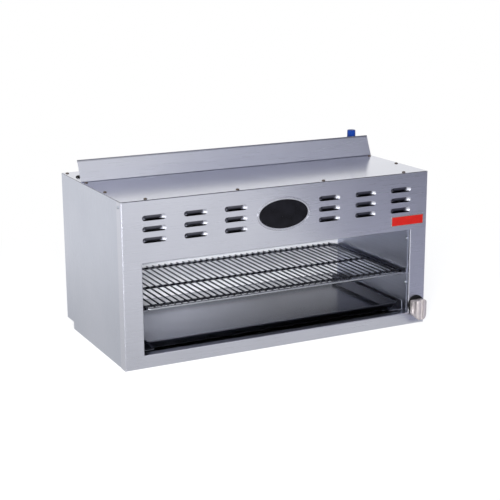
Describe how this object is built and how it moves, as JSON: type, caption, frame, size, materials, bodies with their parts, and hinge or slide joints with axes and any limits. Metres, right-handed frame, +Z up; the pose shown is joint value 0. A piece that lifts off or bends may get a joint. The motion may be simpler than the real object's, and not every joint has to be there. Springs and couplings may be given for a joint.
{
  "type": "cheese melter",
  "caption": "Open-front gas cheese melter in brushed steel with overhead ceramic burners, wire rack, spillage pan and flue deflector.",
  "frame": {"origin": "centre of the base, on the surface the cabinet stands on", "axes": "+X to the right seen from the front, +Y from the open front to the back, +Z up"},
  "size_m": [0.919, 0.4926, 0.5078],
  "materials": {
    "cabinet_steel": "No. 4 brushed stainless steel",
    "back_sheet": "mill-finish stainless sheet",
    "liner_steel": "brushed stainless sheet inside the cavity",
    "burner_steel": "pressed aluminised steel",
    "tile_ceramic": "pierced cordierite ceramic, unglazed",
    "heat_rod": "oxidised heat-resistant rod",
    "black_iron": "black iron pipe and fittings",
    "brass": "machined brass",
    "tube_aluminium": "drawn aluminium tube",
    "plated_steel": "zinc-plated steel",
    "cap_plastic": "moulded polyethylene, blue",
    "black_plastic": "moulded black plastic",
    "knob_metal": "cast and tumbled metal",
    "rack_chrome": "bright plated wire",
    "badge_rim": "brushed aluminium",
    "badge_black": "glossy black inlay",
    "plate_red": "red enamel on a bright plate"
  },
  "bodies": {
    "cabinet": {"front_panel": "cabinet_steel", "left_side_panel": "cabinet_steel", "right_side_panel": "cabinet_steel", "top_cover": "cabinet_steel", "back_panel": "back_sheet", "base_panel": "back_sheet", "flue_deflector": "cabinet_steel", "left_corner_post": "liner_steel", "right_corner_post": "liner_steel", "left_liner": "liner_steel", "right_liner": "liner_steel", "rear_liner": "liner_steel", "burner_shelf": "liner_steel", "flue_duct": "liner_steel", "left_burner_housing": "burner_steel", "right_burner_housing": "burner_steel", "left_burner_tiles": "tile_ceramic", "right_burner_tiles": "tile_ceramic", "left_guard_screen": "heat_rod", "right_guard_screen": "heat_rod", "left_mixing_tube": "black_iron", "right_mixing_tube": "black_iron", "gas_manifold": "black_iron", "burner_orifices": "brass", "manifold_elbow": "black_iron", "feed_riser": "black_iron", "gas_valve": "brass", "supply_pipe": "black_iron", "inlet_elbow": "black_iron", "inlet_pipe": "black_iron", "inlet_cap": "cap_plastic", "spare_hole_plug": "black_plastic", "pilot_valve": "brass", "pilot_tube": "tube_aluminium", "pilot_burner": "plated_steel", "knob_bezel": "black_plastic", "left_rack_guide": "liner_steel", "right_rack_guide": "liner_steel", "left_pan_guide": "liner_steel", "right_pan_guide": "liner_steel", "badge_rim_plate": "badge_rim", "badge_field": "badge_black", "red_plate": "plate_red", "cover_screws": "plated_steel", "side_screws": "plated_steel", "liner_bolts": "plated_steel", "deflector_screws": "plated_steel", "back_screws": "plated_steel", "burner_screws": "plated_steel"},
    "knob": {"control_knob": "knob_metal", "valve_stem": "plated_steel"},
    "rack": {"rack_frame": "rack_chrome", "rack_wires": "rack_chrome"},
    "pan": {"spillage_pan": "liner_steel"}
  },
  "joints": [
    {"name": "knob_turn", "type": "hinge", "parent": "cabinet", "child": "knob", "pos_m": [0.4285, -0.2285, 0.057], "axis": [0, -1, 0], "range_deg": [0, 90]},
    {"name": "rack_slide", "type": "slide", "parent": "cabinet", "child": "rack", "axis": [0, -1, 0], "range_m": [0, 0.3]},
    {"name": "pan_slide", "type": "slide", "parent": "cabinet", "child": "pan", "axis": [0, -1, 0], "range_m": [0, 0.3]}
  ]
}
